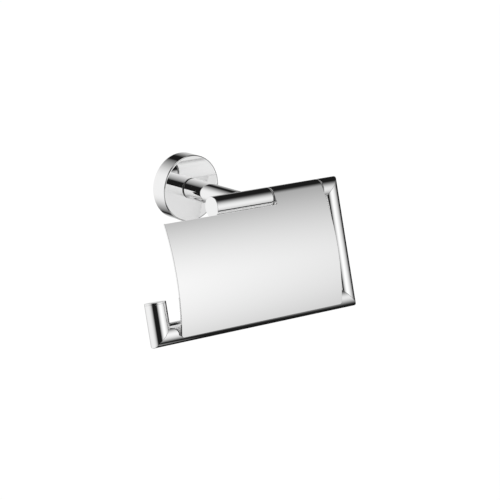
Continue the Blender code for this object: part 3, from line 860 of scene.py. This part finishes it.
def settle(piece, node, body, slot, material=None):
    """Paint a fine piece and let it take its CAD node's place."""
    paint(piece, material or FINISHES[slot])
    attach(piece, body)
    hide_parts(node)


for node, piece in make_frame().items():
    settle(piece, node, "holder", "chrome")
settle(make_upstand_cap(), "upstand_cap", "holder", "chrome")
settle(make_rosette(), "rosette", "holder", "chrome")
settle(make_post(), "post", "holder", "chrome")
settle(make_gasket(), "post_gasket", "holder", "rubber")
settle(make_hub(), "hub", "holder", "chrome")
settle(make_wall_bracket(), "wall_bracket", "holder", "steel")
for node in ("wall_screw_upper", "wall_screw_lower"):
    settle(make_wall_screw(node), node, "holder", "steel")
for node in GRUB_POINTS:
    settle(make_grub_screw(node), node, "holder", "steel")
settle(make_cover(), "cover", "cover", "chrome", cover_finish())
settle(make_bush("left_hinge_bush", True), "left_hinge_bush", "cover", "nylon")
settle(make_bush("right_hinge_bush", False), "right_hinge_bush", "cover", "nylon")

# The bolt and its washers are shut in, so they keep their CAD shape.
for node in ("post_washer", "post_lock_washer", "post_bolt"):
    paint(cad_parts[node], FINISHES["steel"])


# ---------------------------------------------------------------- studio and camera

STUDIO_RADIUS = 0.85
STUDIO_CENTRE = Vector((0.0, -0.057, -0.030))
SHADE = 0.012
FULL_LIGHT = 1.15
FLOOR_Z = -1.0
FLOOR_RADIUS = 40.0
BACKDROP_LIGHT = 1.05

CAMERA_PLACE = Vector((-0.66774, -0.932362, 0.249098))
CAMERA_AZIMUTH = radians(-37.616)
CAMERA_ELEVATION = radians(14.088)
CAMERA_LENS = 146.26
CAMERA_SENSOR = 36.0

# Soft boxes seen in the chrome.  Angles are in degrees round the holder, 0 is straight out of
# the wall, and an edge is (angle, fade, softness).  An edge that isn't given is left open.
SOFT_BOXES = [
    dict(azimuth=20.0, strength=1.275, left=(-47.5, 50.0, 2.0), right=(66.0, 127.0, 2.5),
         bottom=(-52.5, 63.0, 2.0), top=(55.5, 50.0, 2.0)),
    dict(azimuth=-125.0, strength=0.92, left=(-66.0, 50.0, 2.8), right=(58.0, 53.0, 2.8),
         bottom=(-41.0, 29.0, 2.8), top=(46.0, 31.0, 2.8)),
    dict(azimuth=158.0, strength=0.70, left=(-20.0, 8.0, 1.3), right=(20.0, 8.0, 1.3),
         bottom=(-31.0, 9.0, 1.3), top=(29.5, 28.0, 1.3)),
    dict(strength=0.80, bottom=(59.0, 14.0, 2.0)),
    dict(strength=0.60, top=(-59.0, 14.0, 2.0)),
]


class Studio:
    """Emission pattern on a dome round the holder, built from the direction to the dome."""

    def __init__(self):
        self.material = bpy.data.materials.new("studio_dome")
        self.material.use_nodes = True
        self.nodes = self.material.node_tree.nodes
        self.links = self.material.node_tree.links
        self.nodes.clear()
        place = self.nodes.new("ShaderNodeTexCoord").outputs["Object"]
        unit = self.nodes.new("ShaderNodeVectorMath")
        unit.operation = "NORMALIZE"
        self.links.new(place, unit.inputs[0])
        self.direction = unit.outputs["Vector"]
        self.height = self.math("ARCSINE", self.along(UP))

    def math(self, operation, *values):
        node = self.nodes.new("ShaderNodeMath")
        node.operation = operation
        for socket, value in zip(node.inputs, values):
            if isinstance(value, float):
                socket.default_value = value
            else:
                self.links.new(value, socket)
        return node.outputs[0]

    def along(self, axis):
        dot = self.nodes.new("ShaderNodeVectorMath")
        dot.operation = "DOT_PRODUCT"
        dot.inputs[1].default_value = axis
        self.links.new(self.direction, dot.inputs[0])
        return dot.outputs["Value"]

    def edge(self, angle, start, fade, softness):
        """Rise from nothing at the edge to full light, steeply at first and then gently."""
        ramp = self.nodes.new("ShaderNodeMapRange")
        ramp.inputs["From Min"].default_value = radians(start)
        ramp.inputs["From Max"].default_value = radians(start + fade)
        ramp.inputs["To Min"].default_value = 1.0
        ramp.inputs["To Max"].default_value = 0.0
        self.links.new(angle, ramp.inputs["Value"])
        return self.math("SUBTRACT", 1.0, self.math("POWER", ramp.outputs["Result"], softness))

    def angle_from(self, azimuth):
        turn = radians(azimuth)
        ahead = self.along(Vector((sin(turn), -cos(turn), 0.0)))
        aside = self.along(Vector((cos(turn), sin(turn), 0.0)))
        return self.math("ARCTAN2", aside, ahead)

    def soft_box(self, strength, azimuth=None, left=None, right=None, bottom=None, top=None):
        """Light within its edges; without an azimuth it goes all round."""
        edges = [(self.height, bottom, 1), (self.height, top, -1)]
        if azimuth is not None:
            across = self.angle_from(azimuth)
            edges += [(across, left, 1), (across, right, -1)]
        light = strength
        for angle, edge, inward in edges:
            if edge:
                start, fade, softness = edge
                shape = self.edge(angle, start, inward * fade, softness)
                light = self.math("MULTIPLY", shape, light)
        return light

    def finish(self):
        total = SHADE
        for soft_box in SOFT_BOXES:
            total = self.math("ADD", self.soft_box(**soft_box), total)
        emission = self.nodes.new("ShaderNodeEmission")
        self.links.new(self.math("MINIMUM", total, FULL_LIGHT), emission.inputs["Strength"])
        output = self.nodes.new("ShaderNodeOutputMaterial")
        self.links.new(emission.outputs["Emission"], output.inputs["Surface"])
        self.material.cycles.emission_sampling = "NONE"
        return self.material


def make_studio():
    """Dome that only reflections see; it holds the soft boxes and the dark between them."""
    bm = bmesh.new()
    bmesh.ops.create_uvsphere(bm, u_segments=96, v_segments=48, radius=STUDIO_RADIUS)
    dome = finish_mesh("studio_dome", bm)
    dome.location = STUDIO_CENTRE
    dome.data.materials.append(Studio().finish())
    dome.visible_camera = False
    dome.visible_diffuse = False
    dome.visible_shadow = False


def make_floor():
    """Pale floor, wide enough to fill every view, that the chrome does not pick up."""
    finish = Finish("pale_floor", FLOOR_COLOUR, metallic=0.0)
    finish.inputs["Roughness"].default_value = 0.9
    finish.inputs["Specular IOR Level"].default_value = 0.0
    bm = bmesh.new()
    bmesh.ops.create_circle(bm, cap_ends=True, segments=64, radius=FLOOR_RADIUS)
    floor = finish_mesh("floor", bm)
    floor.location = (0.0, 0.0, FLOOR_Z)
    floor.data.materials.append(finish.material)
    floor.visible_glossy = False
    floor.visible_diffuse = False
    floor.visible_shadow = False


def make_world():
    """Even white light for the backdrop, the floor and everything that is not a mirror."""
    world = bpy.data.worlds.new("studio")
    bpy.context.scene.world = world
    world.use_nodes = True
    background = world.node_tree.nodes["Background"]
    background.inputs["Color"].default_value = (1.0, 1.0, 1.0, 1.0)
    background.inputs["Strength"].default_value = BACKDROP_LIGHT
    world.cycles_visibility.glossy = False


def make_camera():
    back = Vector((sin(CAMERA_AZIMUTH) * cos(CAMERA_ELEVATION),
                   -cos(CAMERA_AZIMUTH) * cos(CAMERA_ELEVATION), sin(CAMERA_ELEVATION)))
    right = Vector((cos(CAMERA_AZIMUTH), sin(CAMERA_AZIMUTH), 0.0))
    turned = Matrix((right, back.cross(right), back)).transposed()
    data = bpy.data.cameras.new("camera")
    data.lens = CAMERA_LENS
    data.sensor_width = CAMERA_SENSOR
    data.clip_start = 0.01
    data.clip_end = 100.0
    camera = make_object("camera", data)
    camera.location = CAMERA_PLACE
    camera.rotation_mode = "QUATERNION"
    camera.rotation_quaternion = turned.to_quaternion()
    bpy.context.scene.camera = camera


make_studio()
make_floor()
make_world()
make_camera()
bpy.context.scene.view_settings.view_transform = "Standard"
